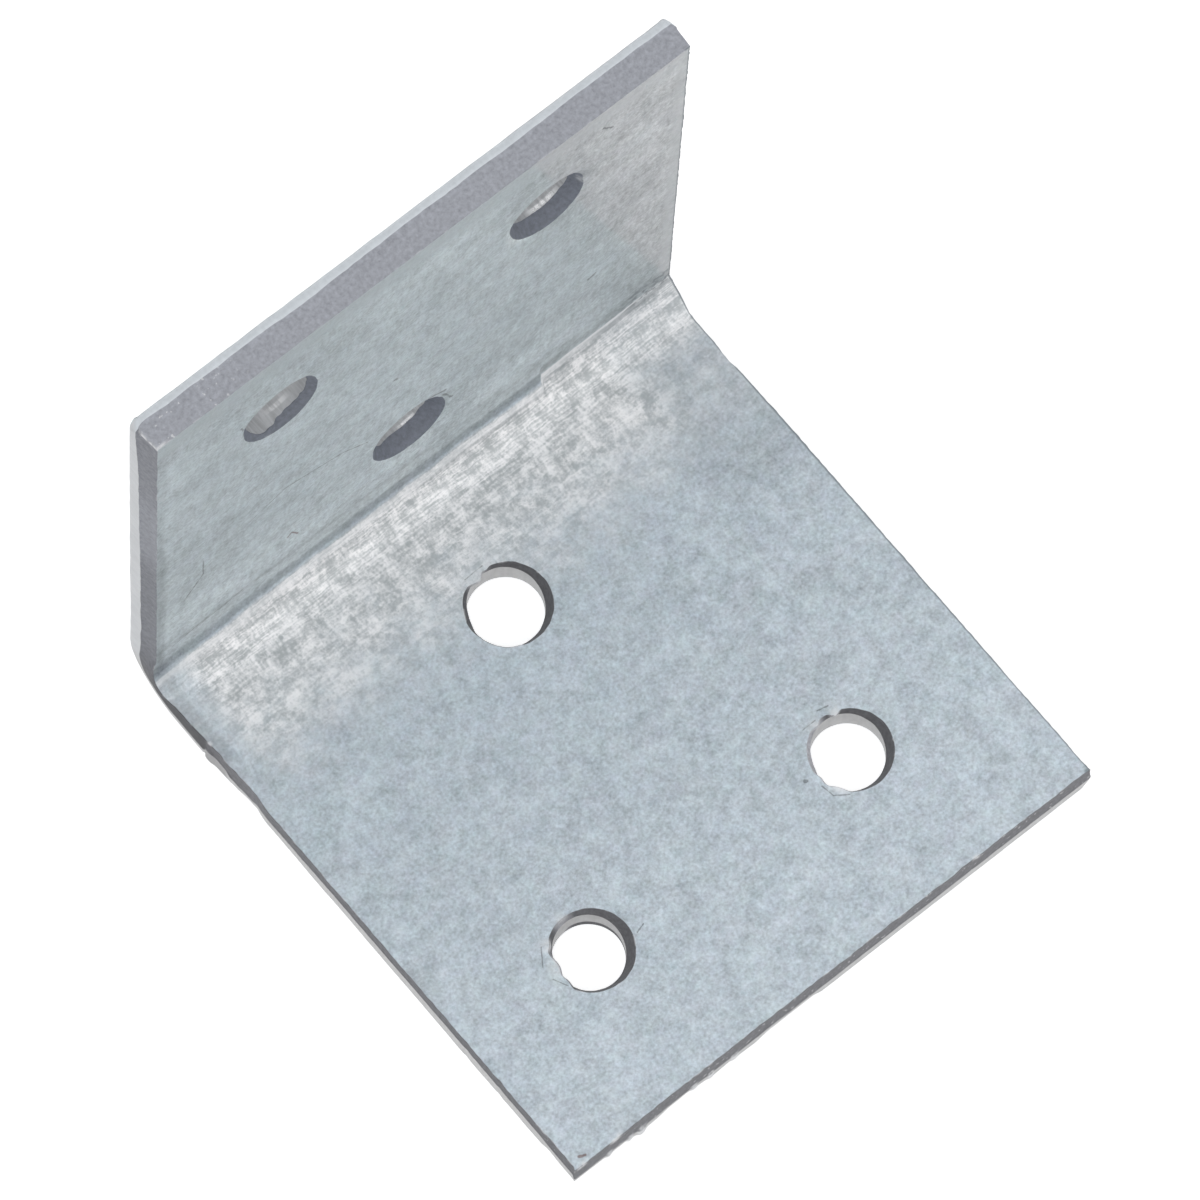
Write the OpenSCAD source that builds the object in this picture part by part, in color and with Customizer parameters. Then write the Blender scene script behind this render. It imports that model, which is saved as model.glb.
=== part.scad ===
// Angle bracket folded from one piece of thick zinc-coated sheet.
// The flat leg lies on its outside face, the upright leg stands at its back edge, and X runs along the fold.
// Blank and holes were cut from the outside face.
// So every cut edge has a rolled lip, a smooth band and a torn band.

/* [Sheet] */
// Width of the bracket along the fold, at the smooth band of its cut edges
width = 50; // [40:0.5:80]
// Length of the flat leg, from the outside of the upright leg to its free edge
flat_length = 52.4; // [46:0.2:90]
// Height of the upright leg, from the underside of the flat leg to its free edge
upright_length = 52; // [46:0.2:90]
// Thickness of the sheet
sheet_thickness = 3.1; // [2.6:0.1:4]
// Radius on the inside of the fold
inside_radius = 3.2; // [2.4:0.1:4]

/* [Cut edge] */
// Width of the lip that the cut drew down at the outside face
roll_width = 0.65; // [0.4:0.05:1]
// Depth of that lip, through the sheet
roll_depth = 0.6; // [0.3:0.05:0.7]
// Depth of the torn band, measured from the inside face
torn_depth = 1.8; // [0.8:0.05:1.9]
// How far the torn band falls back from the smooth band at the inside face
torn_setback = 0.25; // [0.1:0.05:0.4]
// Depth through the sheet at which each free corner is sharp again
corner_roll_depth = 1.6; // [1.4:0.1:2.2]
// How far each free corner is drawn in at the outside face, along its diagonal
corner_roll_back = 0.5; // [0.3:0.1:0.8]

/* [Fold] */
// How far the squeezed metal stands out from the smooth band, at each end of the inside of the fold
bulge_height = 0.2; // [0.1:0.05:0.3]
// Radius of that bulge
bulge_radius = 6; // [5:0.5:10]

/* [Holes] */
// Diameter of each hole at its smooth band
hole_diameter = 5.8; // [4:0.1:7]
// Width of the rolled lip of each hole at the outside face
hole_roll_width = 0.5; // [0.3:0.05:0.8]
// Depth of that lip, through the sheet
hole_roll_depth = 0.45; // [0.3:0.05:0.6]
// Depth of the torn band of each hole, measured from the inside face
hole_torn_depth = 1.1; // [0.6:0.05:1.6]
// How much the torn band opens each hole at the inside face, on each side
hole_torn_setback = 0.5; // [0.1:0.05:0.6]
// Distance between the two outer holes of a leg
pair_spacing = 25; // [16:0.5:26]
// How far the hole pattern sits off the middle of the width
pattern_offset = 0.6; // [-1.5:0.1:1.5]
// From the outside of the upright leg to the single hole of the flat leg
flat_single_to_fold = 14.8; // [13:0.1:18]
// From the free edge of the flat leg to its pair of holes
flat_pair_to_edge = 12.7; // [8:0.1:16]
// From the underside of the flat leg to the single hole of the upright leg
upright_single_to_fold = 15.5; // [13:0.1:18]
// From the free edge of the upright leg to its pair of holes
upright_pair_to_edge = 11.5; // [8:0.1:16]

/* [Hidden] */
$fn = 96;
// Cutters reach this far past the sheet, so that no two faces coincide
overshoot = 1;
outside_radius = inside_radius + sheet_thickness;
// From the sides of a free corner to the axis of the cone that rounds it
corner_inset = 1.2;
corner_cone_radius = corner_inset * sqrt(2);
hole_radius = hole_diameter / 2;
hole_mouth_radius = hole_radius + hole_roll_width;
hole_torn_radius = hole_radius + hole_torn_setback;

// Radius of a rolled lip: an arc that leaves the outside face smoothly and crosses the cut wall
function lip_radius(lip_width, lip_depth) = (pow(lip_width, 2) + pow(lip_depth, 2)) / (2 * lip_depth);

// Section through a strip of sheet that ends in a cut edge at x = 0.
// Y runs through the thickness, from the outside face at 0 to the inside face.
module cut_edge(strip_width) {
    lip = lip_radius(roll_width, roll_depth);
    polygon([
        [-strip_width, 0],
        [-roll_width, 0],
        [0, roll_depth],
        [0, sheet_thickness - torn_depth],
        [-torn_setback, sheet_thickness],
        [-strip_width, sheet_thickness]
    ]);
    intersection() {
        translate([-roll_width, lip]) circle(r = lip);
        translate([-roll_width, 0]) square([roll_width, roll_depth]);
    }
}

// Section across the full width, with a cut edge at each side
module sheet_section() {
    for (side = [0, 1])
        mirror([side, 0]) translate([width / 2, 0]) cut_edge(width / 2);
}

// What draws one free corner down further than the lips beside it: all that lies outside an upright cone
module corner_cutter() {
    slope = corner_roll_back / corner_roll_depth;
    bottom_radius = corner_cone_radius - corner_roll_back - 2 * overshoot * slope;
    cone_height = corner_roll_depth + 2 * overshoot;
    block_side = 2 * corner_inset;
    translate([-corner_inset, -corner_inset, 0])
        difference() {
            translate([0, 0, -overshoot])
                cube([block_side, block_side, corner_roll_depth + overshoot]);
            translate([0, 0, -2 * overshoot])
                cylinder(h = cone_height, r1 = bottom_radius, r2 = corner_cone_radius);
        }
}

// A leg that lies on its outside face, from the end of the fold to its cut free edge
module leg(length) {
    difference() {
        intersection() {
            translate([0, length + overshoot, 0])
                rotate([90, 0, 0])
                    linear_extrude(height = length + overshoot - outside_radius)
                        sheet_section();
            translate([-width / 2 - overshoot, length, 0])
                rotate([90, 0, 90])
                    linear_extrude(height = width + 2 * overshoot)
                        cut_edge(length);
        }
        for (side = [0, 1])
            mirror([side, 0, 0]) translate([width / 2, length, 0]) corner_cutter();
    }
}

// The quarter turn between the legs, with the same cut edges carried round it
module fold() {
    translate([0, outside_radius, outside_radius])
        rotate([0, -90, 0])
            rotate([0, 0, 180])
                rotate_extrude(angle = 90)
                    translate([outside_radius, 0])
                        rotate(90)
                            sheet_section();
}

// A quarter of a flat ring, between +X and -Y
module quarter_ring(inner_radius, outer_radius) {
    intersection() {
        difference() {
            circle(r = outer_radius);
            circle(r = inner_radius);
        }
        translate([0, -outer_radius]) square(outer_radius);
    }
}

// Metal that the fold squeezed out sideways: a low dome at each end of its inside, within the thickness
module fold_bulges() {
    reach = outside_radius - inside_radius * cos(45);
    root = 2 * torn_setback;
    for (side = [0, 1])
        mirror([side, 0, 0])
            intersection() {
                translate([width / 2 + bulge_height - bulge_radius, reach, reach])
                    sphere(r = bulge_radius);
                translate([width / 2 - root, outside_radius, outside_radius])
                    rotate([0, 90, 0])
                        linear_extrude(height = root + overshoot)
                            quarter_ring(inside_radius, outside_radius - roll_depth);
            }
}

// What one punched hole takes away, along +Z from the outside face
module hole_cutter() {
    lip = lip_radius(hole_roll_width, hole_roll_depth);
    rotate_extrude() {
        difference() {
            translate([0, -overshoot]) square([hole_mouth_radius, overshoot + hole_roll_depth]);
            translate([hole_mouth_radius, lip]) circle(r = lip);
        }
        polygon([
            [0, hole_roll_depth],
            [hole_radius, hole_roll_depth],
            [hole_radius, sheet_thickness - hole_torn_depth],
            [hole_torn_radius, sheet_thickness],
            [hole_torn_radius, sheet_thickness + overshoot],
            [0, sheet_thickness + overshoot]
        ]);
    }
}

// The three holes of a leg that lies on its outside face
module leg_holes(single_at, pair_at) {
    translate([pattern_offset, single_at, 0]) hole_cutter();
    for (side = [-1, 1])
        translate([pattern_offset + side * pair_spacing / 2, pair_at, 0]) hole_cutter();
}

// The whole bracket, with the outer corner of the fold along the X axis
module folded_sheet() {
    difference() {
        union() {
            leg(flat_length);
            fold();
            mirror([0, 1, -1]) leg(upright_length);
            fold_bulges();
        }
        leg_holes(flat_single_to_fold, flat_length - flat_pair_to_edge);
        mirror([0, 1, -1])
            leg_holes(upright_single_to_fold, upright_length - upright_pair_to_edge);
    }
}

// Set down with the middle of its footprint at the origin
module bracket() {
    color([0.72, 0.76, 0.78]) translate([0, -flat_length / 2, 0]) folded_sheet();
}

bracket();
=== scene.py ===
# %% [markdown]
# # Angle bracket
# One strip of thick zinc-coated steel, cut and punched flat, then folded once to a right angle.
# What makes it look real is not its outline, which two boxes could give, but its cut edges:
# a shear first draws the surface down, then cuts a smooth band, and at last tears the rest.
# So this file models the strip as it lay before folding, edge by edge, and then wraps it round the fold.

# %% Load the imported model, which is the fixed frame
import bmesh
import bpy
import numpy as np
from mathutils import Matrix, Vector
from mathutils.geometry import delaunay_2d_cdt


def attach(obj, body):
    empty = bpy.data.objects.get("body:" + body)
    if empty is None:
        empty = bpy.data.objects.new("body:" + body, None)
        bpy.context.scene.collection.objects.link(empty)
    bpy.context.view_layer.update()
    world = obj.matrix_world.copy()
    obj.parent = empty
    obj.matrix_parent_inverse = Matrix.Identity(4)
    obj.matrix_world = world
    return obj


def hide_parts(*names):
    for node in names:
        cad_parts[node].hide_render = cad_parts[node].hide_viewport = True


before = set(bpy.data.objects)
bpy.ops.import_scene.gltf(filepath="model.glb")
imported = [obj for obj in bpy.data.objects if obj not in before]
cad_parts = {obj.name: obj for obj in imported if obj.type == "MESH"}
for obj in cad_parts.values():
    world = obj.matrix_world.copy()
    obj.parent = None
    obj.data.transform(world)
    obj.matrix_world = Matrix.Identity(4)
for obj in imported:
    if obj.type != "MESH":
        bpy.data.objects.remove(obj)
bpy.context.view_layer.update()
MM = 0.001

# %% [markdown]
# ## Camera
# The camera stands where the photograph was taken from, over a metre away and nearly overhead, with a
# long lens. Its place and turn come from fitting the bracket's corners and hole rims to the picture.

# %% Camera
camera = bpy.data.objects.new("camera", bpy.data.cameras.new("camera"))
bpy.context.scene.collection.objects.link(camera)
bpy.context.scene.camera = camera
camera_turn = Matrix((
    (-0.7708972, -0.5913488, 0.2366941),
    (0.6363478, -0.7312909, 0.2455099),
    (0.0279102, 0.3398826, 0.9400536),
))
camera.matrix_world = Matrix.Translation((0.27508, 0.283314, 1.115201)) @ camera_turn.to_4x4()
camera.data.sensor_width = 36
camera.data.lens = 475.84
camera.data.clip_start = 0.05
camera.data.dof.use_dof = False
print("camera height, m:", round(camera.location.z, 3))

# %% [markdown]
# ## Sizes of the sheet
# All lengths here are in millimetres, as on a drawing, and turn into metres when the mesh is made. A
# point of the sheet has three coordinates before folding: x along the fold, s across it and n through
# it. s is 0 where the flat leg starts, grows towards its free edge, and is negative round the fold and
# up the other leg.

# %% Sizes of the sheet
WIDTH = 50.0
FLAT_LENGTH = 52.4
UPRIGHT_LENGTH = 52.0
THICKNESS = 3.1
INSIDE_RADIUS = 3.2
OUTSIDE_RADIUS = INSIDE_RADIUS + THICKNESS
FOLD_ARC = (INSIDE_RADIUS + THICKNESS / 2) * np.pi / 2
S_FLAT_EDGE = FLAT_LENGTH - OUTSIDE_RADIUS
S_UPRIGHT_EDGE = -FOLD_ARC - (UPRIGHT_LENGTH - OUTSIDE_RADIUS)
HALF_SPAN = (S_FLAT_EDGE - S_UPRIGHT_EDGE) / 2
MID_S = (S_FLAT_EDGE + S_UPRIGHT_EDGE) / 2

# Cut edge: rolled lip, smooth band, torn band
LIP_WIDTH, LIP_DEPTH = 0.65, 0.6
TORN_START = THICKNESS - 1.8
CORNER_DEPTH = 1.6

# Holes: the same three bands, on a circle
HOLE_RADIUS, HOLE_LIP_WIDTH, HOLE_LIP_DEPTH = 2.9, 0.5, 0.45
HOLE_TORN_SETBACK = 0.5
PATTERN_X, HALF_PAIR = 0.6, 12.5
FLAT_PAIR_S = S_FLAT_EDGE - 12.7
UPRIGHT_PAIR_S = S_UPRIGHT_EDGE + 11.5
HOLES = [
    (PATTERN_X, 14.8 - OUTSIDE_RADIUS),
    (PATTERN_X - HALF_PAIR, FLAT_PAIR_S),
    (PATTERN_X + HALF_PAIR, FLAT_PAIR_S),
    (PATTERN_X, -FOLD_ARC - (15.5 - OUTSIDE_RADIUS)),
    (PATTERN_X - HALF_PAIR, UPRIGHT_PAIR_S),
    (PATTERN_X + HALF_PAIR, UPRIGHT_PAIR_S),
]
print("strip before folding, mm:", round(2 * HALF_SPAN, 2), "by", WIDTH)

# %% [markdown]
# ## Random, but the same each time
# Torn metal is irregular, yet a render must come out the same each run.
# A lattice of fixed random numbers does both: each point takes the numbers at the eight lattice corners
# around it, eased from one to the next, so neighbours get nearly the same height.


# %% Smooth noise
def smooth_noise(points, size, seed):
    """Heights from -1 to 1 at an array of points (N, 3).
    The lattice has one random number per cell corner, and t * t * (3 - 2 t) eases between the corners."""
    table = np.random.default_rng(seed).uniform(-1, 1, 4096)
    scaled = np.asarray(points, float) / size
    low = np.floor(scaled).astype(np.int64)
    t = scaled - low
    ease = t * t * (3 - 2 * t)
    total = np.zeros(len(scaled))
    for corner in range(8):
        step = np.array([(corner >> axis) & 1 for axis in range(3)])
        at = low + step
        key = (at[:, 0] * 73856093) ^ (at[:, 1] * 19349663) ^ (at[:, 2] * 83492791)
        weight = np.prod(np.where(step == 1, ease, 1 - ease), axis=1)
        total += weight * table[key % 4096]
    return total


def ease_between(value, low, high):
    """0 below low, 1 above high, and t * t * (3 - 2 t) in between."""
    t = np.clip((value - low) / (high - low), 0, 1)
    return t * t * (3 - 2 * t)


def bump_at(value, middle, reach):
    """A hump of height 1 at middle that ends at reach on both sides: the square of 1 - distance squared."""
    return np.clip(1 - ((value - middle) / reach) ** 2, 0, 1) ** 2


# %% [markdown]
# ## The outline, walked once round
# The blank is a rectangle. Its edge is sampled every 0.18 mm, fine enough for the nicks of a torn edge.
# Each sample knows which side it is on: 0 and 2 are the sides that cross the fold, 1 and 3 the free
# edges.

# %% Outline samples
EDGE_STEP = 0.18


def outline_samples():
    """The rectangle's edge as (x, s) points, counter-clockwise, and the side that each is on."""
    corners = np.array([
        [WIDTH / 2, S_UPRIGHT_EDGE], [WIDTH / 2, S_FLAT_EDGE],
        [-WIDTH / 2, S_FLAT_EDGE], [-WIDTH / 2, S_UPRIGHT_EDGE],
    ])
    points, sides = [], []
    for side in range(4):
        start, end = corners[side], corners[(side + 1) % 4]
        count = int(round(np.linalg.norm(end - start) / EDGE_STEP))
        t = np.arange(count)[:, None] / count
        points.append(start + (end - start) * t)
        sides.append(np.full(count, side))
    return np.concatenate(points), np.concatenate(sides)


OUTLINE, SIDE = outline_samples()
ON_LEFT, ON_FREE_EDGE, ON_RIGHT, ON_TOP_EDGE = (SIDE == side for side in range(4))
# Two corners differ from the other two: one was cut clean, and one was drawn far in
ON_SHARP_CORNER = (OUTLINE > (20, S_FLAT_EDGE - 5)).all(1)
ON_SOFT_CORNER = (OUTLINE[:, 0] > 20) & (OUTLINE[:, 1] < S_UPRIGHT_EDGE + 5)
print("outline samples:", len(OUTLINE))


# %% [markdown]
# ## How the cut edge changes along the outline
# No shear cuts the same way all along. Where its clearance was tight, the smooth band is wide and the
# tear is short, and where it was loose, the sheet was drawn down further and tore early. So each band's
# width is a curve along the outline: a few places, what the band measures there, and a straight way
# from one to the next. Quick noise on top gives the ragged limits that torn metal has.

# %% Curves along the outline
OUTLINE_3D = np.column_stack([OUTLINE, np.zeros(len(OUTLINE))])
X_OUT, S_OUT = OUTLINE[:, 0], OUTLINE[:, 1]


def curve(at, places):
    """The value at each position of an array, from pairs of place and value, with straight lines."""
    where, value = zip(*places)
    return np.interp(at, where, value)


def per_side(left, free_edge, right, top_edge):
    """One array for the whole outline from what holds on each of its four sides."""
    return np.select([ON_LEFT, ON_FREE_EDGE, ON_RIGHT], [left, free_edge, right], top_edge)


def print_range(title, values):
    """Prints the least and the greatest of an array."""
    print(title + ", mm:", values.min().round(2), "to", values.max().round(2))


# %% Rolled lip: how far the surface was drawn down
lip_left = curve(S_OUT, (
    (-50, 0.46), (-30, 0.5), (-12, 0.66), (-5, 0.52), (2, 0.22), (4, 0.38), (5.5, 0.55), (10, 0.88),
    (18, 0.82), (26, 0.85), (32, 0.77), (42.4, 0.8), (43, 1.2), (46, 1.1)))
lip_free = curve(X_OUT, (
    (1.2, 0.22), (2, 0.9), (6.5, 0.85), (7.5, 0.22), (9, 0.3), (10, 0.55), (11.5, 0.3),
    (14, 1.05), (16, 1.0), (17, 0.4), (19, 0.3), (20, 0.8)))
OUTLINE_LIP_DEPTH = per_side(lip_left, lip_free, LIP_DEPTH, 0.72)
OUTLINE_LIP_DEPTH = OUTLINE_LIP_DEPTH * (1 + 0.08 * smooth_noise(OUTLINE_3D, 1.4, 10))
OUTLINE_LIP_WIDTH = OUTLINE_LIP_DEPTH * per_side(1.0, 1.0, LIP_WIDTH / LIP_DEPTH, 1.4)
print_range("lip drawn down", OUTLINE_LIP_DEPTH)

# %% Tear: the depth at which it starts
start_left = curve(S_OUT, (
    (-53, 0.9), (-52, 0.95), (-50, 1.1), (-46, 1.3), (-36, 1.45), (-28, 1.55), (-13, 1.7), (-8, 1.6),
    (-6, 1.35), (-4.5, 1.0), (-3, 0.85), (2.86, 0.85), (2.94, 2.05), (5.4, 2.0), (5.8, 1.45), (8.2, 1.15),
    (10, 1.9), (18, 2.1), (30, 2.18), (42.2, 2.15), (43, 2.0), (46, 1.9)))
start_free = curve(X_OUT, (
    (-5, 1.38), (6, 1.34), (8, 1.22), (12.5, 1.2), (14, 1.3), (16, 1.3), (17, 1.12)))
start_top = curve(X_OUT, (
    (-25, 0.88), (0, 0.9), (8, 0.98), (11, 1.0), (13, 0.86), (22, 0.86), (24.5, 0.7)))
OUTLINE_TORN_START = per_side(start_left, start_free, TORN_START, start_top)
OUTLINE_TORN_START += 0.05 * smooth_noise(OUTLINE_3D, 2.2, 11) + 0.04 * smooth_noise(OUTLINE_3D, 0.6, 12)
OUTLINE_TORN_START = np.maximum(OUTLINE_TORN_START, OUTLINE_LIP_DEPTH + 0.08)
print_range("tear starts at", OUTLINE_TORN_START)

# %% Tear: how far it falls back at the inside face
# A negative value stands out: the fold squeezed the left end of its inside past the smooth band.
back_left = curve(S_OUT, (
    (-54, 0.28), (-7.5, 0.28), (-6, 0.2), (-5.2, 0.12), (-4.4, 0.0), (0, -0.04), (1.5, 0.0), (3, 0.1),
    (4.5, 0.2), (5.8, 0.16), (8.2, 0.08), (10, 0.11), (42.4, 0.1), (43.2, 0.18), (46, 0.14)))
back_free = curve(X_OUT, ((15, 0.11), (17.5, 0.07), (21, 0.01)))
back_right = curve(S_OUT, (
    (-54, 0.24), (-7, 0.24), (-5.8, 0.1), (-4, 0.12), (-2.5, 0.1), (-1, 0.26), (3, 0.3), (4.2, 0.38),
    (5.5, 0.28), (10, 0.2), (20, 0.22), (40, 0.3)))
OUTLINE_SETBACK = per_side(back_left, back_free, back_right, 0.2)
OUTLINE_SETBACK += 0.03 * smooth_noise(OUTLINE_3D, 1.6, 13) + 0.025 * smooth_noise(OUTLINE_3D, 0.5, 14)
print_range("tear falls back", OUTLINE_SETBACK)

# %% [markdown]
# ## Section through a cut edge
# A wall is a stack of rings. Each ring has a share from 0, the outside face, to 3, the inside face: 0 to
# 1 is the rolled lip, 1 to 2 the smooth band, 2 to 3 the torn band, whatever their depths are at that
# sample.

# %% Rings of a wall
LIP_SHARES = np.array([0, 0.06, 0.14, 0.26, 0.42, 0.6, 0.8, 1.0])
SMOOTH_SHARES = np.array([1.35, 1.7, 1.93])
TORN_SHARES = np.array([2.0, 2.035, 2.09, 2.2, 2.35, 2.5, 2.64, 2.77, 2.88, 2.95, 3.0])
SHARES = np.concatenate([LIP_SHARES, SMOOTH_SHARES, TORN_SHARES])


def depth_of(share, lip_depth, torn_start):
    """Depth through the sheet for a share: straight lines between the faces and the bands' limits."""
    in_lip = lip_depth * share
    in_smooth_band = lip_depth + (torn_start - lip_depth) * (share - 1)
    in_tear = torn_start + (THICKNESS - torn_start) * (share - 2)
    return np.where(share < 1, in_lip, np.where(share < 2, in_smooth_band, in_tear))


def lip_inset(depth, width, lip_depth):
    """Set-back of the rolled lip: an arc that leaves the face smoothly and meets the wall at its depth.
    The arc's radius is the sum of the squares of width and depth, over twice the depth."""
    radius = (width ** 2 + lip_depth ** 2) / (2 * lip_depth)
    inside = np.clip(radius ** 2 - (radius - np.minimum(depth, lip_depth)) ** 2, 0, None)
    return np.maximum(width - np.sqrt(inside), 0)


def band_of(share):
    """What a ring is: 0 on the face, 1 from the lip to the end of the smooth band, 2 on the tear."""
    return 1 + ease_between(share, 1.99, 2.0) if share > 0.3 else share / 0.3


def torn_inset(share, setback, step=0.22):
    """Set-back of the tear: a small quick step where it starts, then an even slope to the inside face."""
    t = np.clip(share - 2, 0, 1)
    return setback * (step * ease_between(t, 0, 0.1) + (1 - step) * t)


# %% [markdown]
# ## Bending squeezes the edge
# Inside the fold the metal is pressed together and stands out past the edge. It follows a ball of 6 mm
# radius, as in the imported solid. At the left end it stands proud of the smooth band, and at the right
# end level with it.

# %% Shift of the sides along the fold
BULGE_LEFT, BULGE_RIGHT, BULGE_RADIUS = 0.36, 0.0, 6.0
BULGE_CENTRE = OUTSIDE_RADIUS - INSIDE_RADIUS * np.cos(np.pi / 4)
BULGE_REACH, BULGE_LIMIT, BULGE_SOFTNESS = np.sqrt(12), 0.6, 0.05


def fold_plane(s, n):
    """Height and depth (y, z) of a point at (s, n), with the outer corner of the fold at (0, 0).
    The fold is a quarter circle about the centre of the outside radius, and the legs go straight on."""
    turn = np.clip(-s / FOLD_ARC, 0, 1) * np.pi / 2
    radius = OUTSIDE_RADIUS - n
    y = OUTSIDE_RADIUS - radius * np.sin(turn) + np.maximum(s, 0)
    z = OUTSIDE_RADIUS - radius * np.cos(turn) + np.maximum(-s - FOLD_ARC, 0)
    return y, z


def side_shift(x, s, n, fade):
    """How far a point near a side moves outwards, up to the ball of the bulge.
    Half the sum of the gap and its softened length is the gap where it is positive, and 0 elsewhere."""
    y, z = fold_plane(s, n)
    away = (y - BULGE_CENTRE) ** 2 + (z - BULGE_CENTRE) ** 2
    height = np.where(x > 0, BULGE_LEFT, BULGE_RIGHT)
    ball = WIDTH / 2 + height - BULGE_RADIUS + np.sqrt(np.clip(BULGE_RADIUS ** 2 - away, 0, None))
    gap = ball - np.abs(x)
    soft_length = np.sqrt(gap ** 2 + BULGE_SOFTNESS ** 2)
    shift = 0.5 * (gap + soft_length) - 0.5 * BULGE_SOFTNESS * bump_at(gap, 0, 1)
    shift = np.where(away < BULGE_REACH ** 2, np.clip(shift, 0, BULGE_LIMIT), 0)
    return np.sign(x) * shift * fade


# %% [markdown]
# ## Wrapping the flat strip round the fold
# One function takes any point of the strip to its place on the finished bracket. All else is modelled
# flat.

# %% From the strip to the bracket
def wrap(x, s, n, fade=1.0):
    """Metres in the shared frame: s and n follow the legs and the turn, and only the bulge moves x."""
    y, z = fold_plane(s, n)
    shifted = x + side_shift(x, s, n, fade)
    return np.column_stack([shifted, y - FLAT_LENGTH / 2, z]) * MM


# %% Where a ring of the outline lies
def outline_ring(inset, depth):
    """The outline shrunk towards its middle by inset, so corners stay mitred, with each free corner
    kept inside an upright cone that narrows towards the outside face."""
    x = OUTLINE[:, 0] * (1 - inset / (WIDTH / 2))
    s = MID_S + (OUTLINE[:, 1] - MID_S) * (1 - inset / HALF_SPAN)
    # How far a corner is drawn in at the outside face, and from its two sides to the cone's axis
    back = np.where(ON_SHARP_CORNER, 0.1, np.where(ON_SOFT_CORNER, 0.96, 0.5))
    corner = np.where(ON_SOFT_CORNER, 2.3, 1.2)
    cone = corner * np.sqrt(2) - np.clip(CORNER_DEPTH - depth, 0, None) * back / CORNER_DEPTH
    u = np.abs(x) - (WIDTH / 2 - corner)
    v = np.abs(s - MID_S) - (HALF_SPAN - corner)
    reach = np.hypot(u, v)
    pull = np.where((u > 0) & (v > 0) & (reach > cone), cone / np.maximum(reach, 1e-9), 1)
    x = np.sign(x) * (WIDTH / 2 - corner + u * pull)
    s = MID_S + np.sign(s - MID_S) * (HALF_SPAN - corner + v * pull)
    return x, s


# %% [markdown]
# ## Collecting the mesh
# The walls, the rims and the two faces share their border points, so the finished sheet is one closed
# skin. A small store keeps the points, what each knows about itself, and the faces, until all are there.

# %% Store for points and faces
points, flat_points, knows = [], [], []
faces = []
point_count = 0


def add_points(x, s, n, band, edge, tone, polish=0.0, pale=0.0, fade=1.0):
    """Stores points of the strip and returns their numbers. What each knows:
    band: 0 face, 1 lip and smooth band, 2 tear. edge: millimetres to the nearest cut. tone: how light the
    tear is, its own tone with painted light and shade. polish: how far the smooth band was burnished.
    pale: how white a point is, for bare burrs and flakes and for painted highlights at the rim."""
    global point_count
    shape = np.broadcast(x, s, n).shape
    x, s, n = (np.broadcast_to(np.asarray(v, float), shape).ravel() for v in (x, s, n))
    points.append(wrap(x, s, n, fade))
    flat_points.append(np.column_stack([x, s, n]))
    known_here = (band, edge, tone, polish, pale)
    knows.append(np.column_stack([np.broadcast_to(v, shape).ravel() for v in known_here]))
    first = point_count
    point_count += x.size
    return np.arange(first, point_count)


def join_rings(lower, upper, flip=False):
    """Quads between two rings with as many points. Rings that run counter-clockwise face outwards."""
    quad = np.column_stack([lower, np.roll(lower, -1), np.roll(upper, -1), upper])
    faces.append(quad[:, ::-1] if flip else quad)


# %% [markdown]
# ## The outline's wall
# On top of the tear's slope come grain and small chips, and at the inside face a burr: a thin ragged lip
# that the punch pushed up. It catches the light as a white thread along the edge.

# %% Tone and burr of the outline
def outline_tone_and_shade():
    """How light the tear is, its own tone with painted light and shade: the top edge, which faces up to the
    light, is painted pale, the flat leg is dark, the fold is darkest.
    """
    left = curve(S_OUT, (
        (-52, 0.62), (-44, 0.64), (-38, 0.83), (-30, 0.8), (-26, 0.56), (-12, 0.55), (-9, 0.5),
        (-6, 0.42), (-4.5, 0.25), (-3, 0.12), (2.8, 0.12), (3.2, 0.38), (8, 0.5), (11, 0.42)))
    return per_side(left, 0.45, 0.22, 1.0)


def outline_burr():
    """Height of the burr over the inside face: mostly a hair, with a few taller flakes."""
    slow = smooth_noise(OUTLINE_3D, 3.2, 21)
    quick = smooth_noise(OUTLINE_3D, 0.5, 22)
    return 0.004 + 0.01 * np.clip(slow, 0, 1) + 0.05 * np.clip(quick - 0.45, 0, 1)


# Tear tone for each side, with painted light and shade by the way each side faces
OUTLINE_TONE_AND_SHADE = outline_tone_and_shade()
OUTLINE_BURR = outline_burr()
# Bare metal at the rim in a few places of the sides. Next to the rounded corner, on the top edge and down
# the edge of the corner, a painted highlight.
OUTLINE_BARE_AND_GLINT = per_side(
    bump_at(S_OUT, 3.3, 0.3),
    bump_at(X_OUT, 21.0, 0.7) + bump_at(X_OUT, 24.3, 0.7) + bump_at(X_OUT, -13.8, 0.5),
    0.0,
    0.8 * ease_between(X_OUT, 23.6, 24.4))
# A painted highlight down the edge of the rounded corner
CORNER_GLINT = ease_between(np.hypot(X_OUT - WIDTH / 2, S_OUT - S_UPRIGHT_EDGE), 0.22, 0.05)

# %% Chips, nick and tongues of the outline
# Each tongue of the free edge and chip of the left side: its place, reach, and how far it moves the wall
TONGUES = (
    (18.45, 0.65, 1.0), (19.65, 0.4, 0.6), (21.6, 0.45, 0.7),
    (13.5, 0.5, 0.5), (11.9, 0.4, 0.4), (9.6, 0.5, 0.4))
CHIPS = ((8.2, 2.2, 0.19), (8.9, 0.5, 0.05), (6.3, 0.5, 0.04), (33.6, 0.35, 0.04), (37.4, 0.4, 0.04))


def bumps(at, places):
    """The sum of the humps of a list of middle, reach and height."""
    return sum(height * bump_at(at, middle, reach) for middle, reach, height in places)


ON_TONGUE = ON_FREE_EDGE * bumps(X_OUT, [(middle, reach, 1) for middle, reach, _ in TONGUES])


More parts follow.
